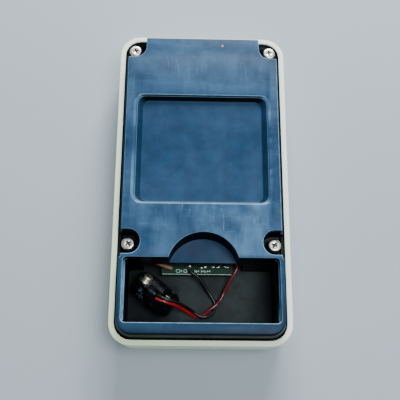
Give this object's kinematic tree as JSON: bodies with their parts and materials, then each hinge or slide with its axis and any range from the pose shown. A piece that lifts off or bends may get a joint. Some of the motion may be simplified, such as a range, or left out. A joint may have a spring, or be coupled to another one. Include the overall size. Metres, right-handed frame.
{
  "type": "wireless flash trigger",
  "caption": "Hand-held wireless flash trigger lying face down: cream casing, dark screwed rear cover with label recess, and an open battery bay with loose snap and leads.",
  "frame": {"origin": "middle of the front face's lowest plane, on which the unit lies face down", "axes": "+Z out of the rear cover, +Y towards the end with the sync socket and power slider, +X to the right when the back is seen with +Y up"},
  "size_m": [0.076, 0.1432, 0.029],
  "materials": {
    "cream_casing": "fine-textured moulded cream plastic, lightly soiled",
    "slate_cover": "satin moulded dark slate-blue plastic, scuffed and dusty",
    "faceplate": null,
    "board_laminate": "green solder-resist laminate",
    "fire_button": "smooth red moulded plastic",
    "black_plastic": "black moulded plastic",
    "grey_plastic": "grey moulded plastic",
    "amber_lens": "clear amber plastic",
    "lamp_chip": "pale ceramic-filled plastic",
    "plated_steel": "tin-plated steel",
    "nickel_plate": "bright nickel plate",
    "screw_nickel": "nickel-plated steel, slightly tarnished",
    "snap_body": "semi-gloss black moulded vinyl",
    "red_insulation": "smooth red wire insulation",
    "black_insulation": "smooth black wire insulation",
    "tan_insulation": "tan wire insulation",
    "solder": "bright solder"
  },
  "bodies": {
    "root": {"front_casing": "cream_casing", "rear_cover": "slate_cover", "faceplate": "faceplate", "circuit_board": "board_laminate", "fire_switch_body": "grey_plastic", "channel_switch_body": "grey_plastic", "status_lens": "amber_lens", "status_lamp": "lamp_chip", "power_switch_body": "plated_steel", "sync_socket_body": "black_plastic", "sync_socket_nut": "nickel_plate", "radio_module_header": "black_plastic", "radio_module_board": "board_laminate", "radio_module_shield": "plated_steel", "controller_chip": "black_plastic", "crystal_can": "plated_steel", "trigger_thyristor": "black_plastic", "voltage_regulator": "black_plastic", "reservoir_capacitor": "black_plastic", "battery_snap": "snap_body", "snap_stud": "nickel_plate", "snap_clip": "nickel_plate", "red_lead": "red_insulation", "black_lead": "black_insulation", "antenna_lead": "tan_insulation", "red_solder_joint": "solder", "black_solder_joint": "solder", "cover_screw_upper_left": "screw_nickel", "board_screw_upper_left": "plated_steel", "cover_screw_upper_right": "screw_nickel", "board_screw_upper_right": "plated_steel", "cover_screw_lower_left": "screw_nickel", "board_screw_lower_left": "plated_steel", "cover_screw_lower_right": "screw_nickel", "board_screw_lower_right": "plated_steel"},
    "fire_button_body": {"fire_button": "fire_button", "fire_switch_plunger": "black_plastic"},
    "channel_dial_body": {"channel_dial": "black_plastic"},
    "power_slider_body": {"power_slider": "black_plastic"}
  },
  "joints": [
    {"name": "fire_button_press", "type": "slide", "parent": "root", "child": "fire_button_body", "axis": [0, 0, 1], "range_m": [0, 0.0005], "stiffness_N_per_m": 3000},
    {"name": "channel_dial_turn", "type": "hinge", "parent": "root", "child": "channel_dial_body", "pos_m": [0, 0.022, 0.003], "axis": [0, 0, 1], "continuous": true},
    {"name": "power_slider_slide", "type": "slide", "parent": "root", "child": "power_slider_body", "axis": [1, 0, 0], "range_m": [0, 0.003]}
  ]
}
